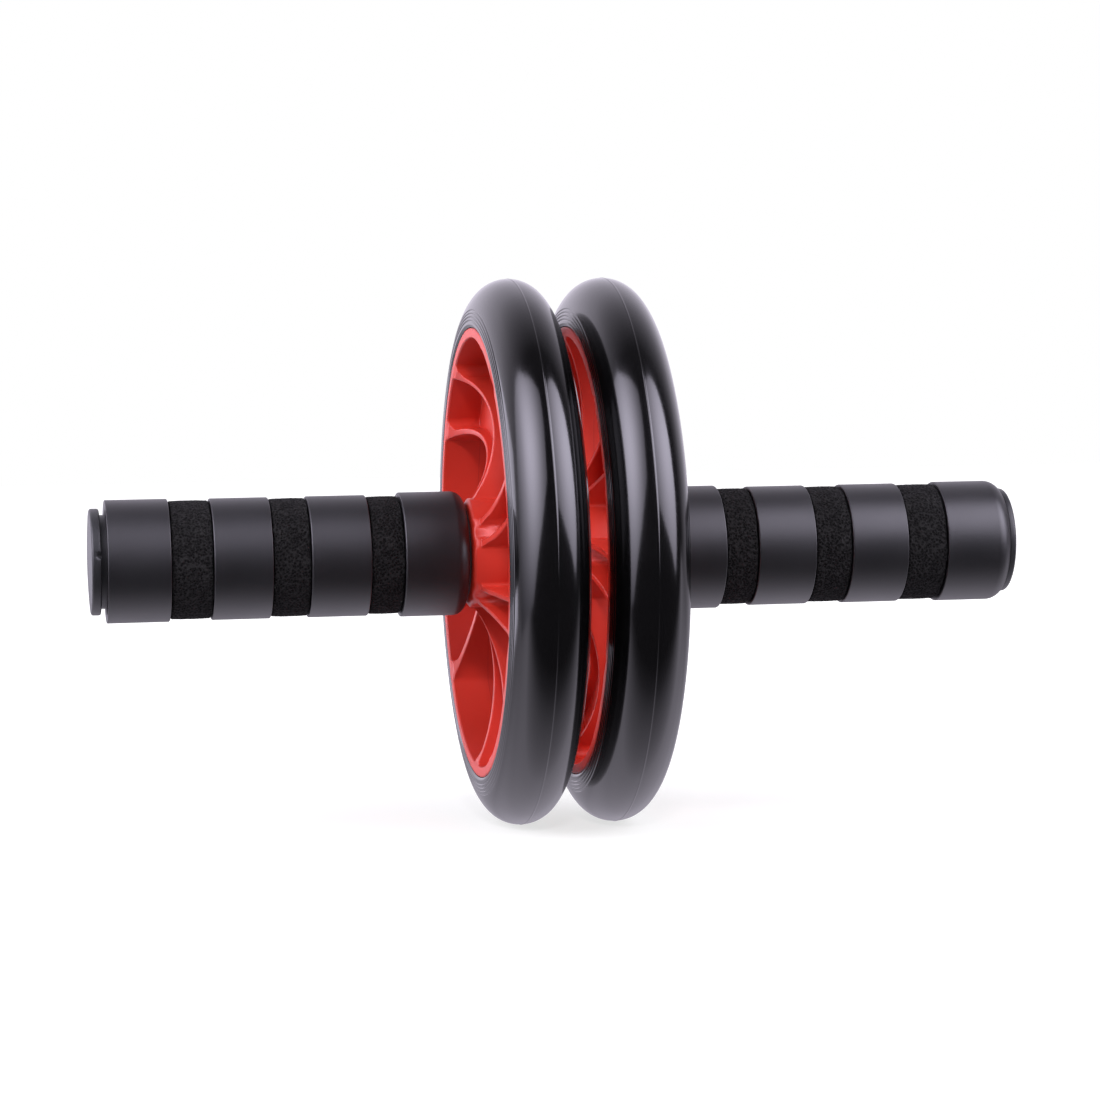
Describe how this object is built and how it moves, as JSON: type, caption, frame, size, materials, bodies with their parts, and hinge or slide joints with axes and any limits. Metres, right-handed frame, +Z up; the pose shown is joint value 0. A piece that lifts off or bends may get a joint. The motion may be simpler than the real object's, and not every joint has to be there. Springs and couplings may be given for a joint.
{
  "type": "ab wheel roller",
  "caption": "Ab wheel roller: twin red spoked wheels with rounded black rubber tyres turning on one steel axle between two black grips with foam inlays and domed end caps.",
  "frame": {"origin": "on the axle axis, midway between the two wheels", "axes": "+X along the axle towards the right grip, +Z up"},
  "size_m": [0.3092, 0.18, 0.18],
  "materials": {
    "steel": "bright zinc",
    "wheel_red": "semi-gloss moulded",
    "tyre_black": "glossy moulded",
    "grip_plastic": "satin",
    "foam_black": "matt open foam",
    "cap_plastic": "satin",
    "washer_plastic": "satin"
  },
  "bodies": {
    "axle_and_grips": {"axle_rod": "steel", "centre_washer": "washer_plastic", "left_thrust_washer": "washer_plastic", "left_handle": "grip_plastic", "left_nut_washer": "steel", "left_axle_nut": "steel", "left_end_cap": "cap_plastic", "left_inner_foam": "foam_black", "left_middle_foam": "foam_black", "left_outer_foam": "foam_black", "right_thrust_washer": "washer_plastic", "right_handle": "grip_plastic", "right_nut_washer": "steel", "right_axle_nut": "steel", "right_end_cap": "cap_plastic", "right_inner_foam": "foam_black", "right_middle_foam": "foam_black", "right_outer_foam": "foam_black"},
    "left_wheel_set": {"left_wheel": "wheel_red", "left_tyre": "tyre_black"},
    "right_wheel_set": {"right_wheel": "wheel_red", "right_tyre": "tyre_black"}
  },
  "joints": [
    {"name": "left_wheel_spin", "type": "hinge", "parent": "axle_and_grips", "child": "left_wheel_set", "pos_m": [-0.0157, 0, 0], "axis": [1, 0, 0], "continuous": true},
    {"name": "right_wheel_spin", "type": "hinge", "parent": "axle_and_grips", "child": "right_wheel_set", "pos_m": [0.0157, 0, 0], "axis": [1, 0, 0], "continuous": true}
  ]
}
